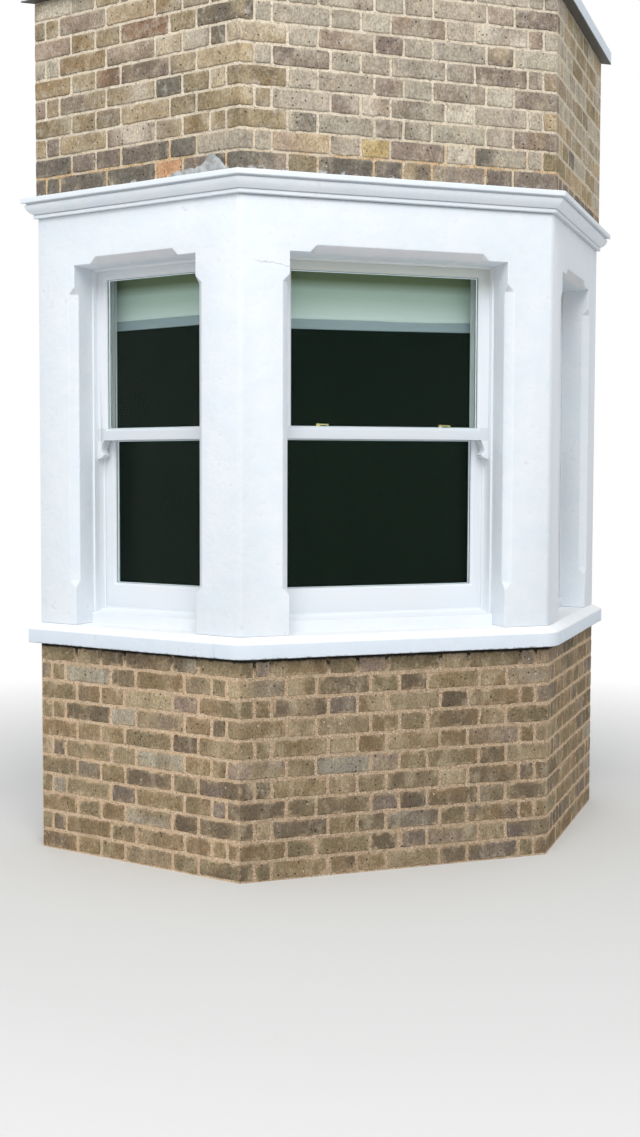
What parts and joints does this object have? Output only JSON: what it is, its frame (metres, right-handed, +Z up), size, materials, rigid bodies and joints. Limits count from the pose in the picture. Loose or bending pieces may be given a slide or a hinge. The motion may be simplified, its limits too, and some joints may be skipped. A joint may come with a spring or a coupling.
{
  "type": "canted bay with sash windows",
  "caption": "Three-sided canted bay of brick and painted stone, from the ground up, with a timber sash window in each face.",
  "frame": {"origin": "centre of the bounding box, at its bottom on the ground", "axes": "+Z up, +Y into the house, +X to the right seen from the garden"},
  "size_m": [2.668, 0.8906, 3.44],
  "materials": {
    "base_brick": "matte, weathered",
    "upper_brick": "matte, sooty in places",
    "painted_stone": "satin masonry paint",
    "painted_timber": "gloss white paint",
    "glass": "clear",
    "blind_fabric": "woven",
    "brass": "polished"
  },
  "bodies": {
    "root": {"base_wall_front": "base_brick", "base_wall_left": "base_brick", "base_wall_right": "base_brick", "blind_front": "blind_fabric", "blind_left": "blind_fabric", "blind_right": "blind_fabric", "bottom_glass_front": "glass", "bottom_glass_left": "glass", "bottom_glass_right": "glass", "bottom_sash_front": "painted_timber", "bottom_sash_left": "painted_timber", "bottom_sash_right": "painted_timber", "box_frame_front": "painted_timber", "box_frame_left": "painted_timber", "box_frame_right": "painted_timber", "cornice_front": "painted_stone", "cornice_left": "painted_stone", "cornice_right": "painted_stone", "lintel_front": "painted_stone", "lintel_left": "painted_stone", "lintel_right": "painted_stone", "pier_left_corner": "painted_stone", "pier_left_end": "painted_stone", "pier_right_corner": "painted_stone", "pier_right_end": "painted_stone", "sash_fasteners": "brass", "sill_front": "painted_stone", "sill_left": "painted_stone", "sill_right": "painted_stone", "timber_sill_front": "painted_timber", "timber_sill_left": "painted_timber", "timber_sill_right": "painted_timber", "top_glass_front": "glass", "top_glass_left": "glass", "top_glass_right": "glass", "top_sash_front": "painted_timber", "top_sash_left": "painted_timber", "top_sash_right": "painted_timber", "upper_sill_front": "painted_stone", "upper_sill_left": "painted_stone", "upper_sill_right": "painted_stone", "upper_wall_front": "upper_brick", "upper_wall_left": "upper_brick", "upper_wall_right": "upper_brick", "window_board": "painted_timber"}
  },
  "joints": []
}
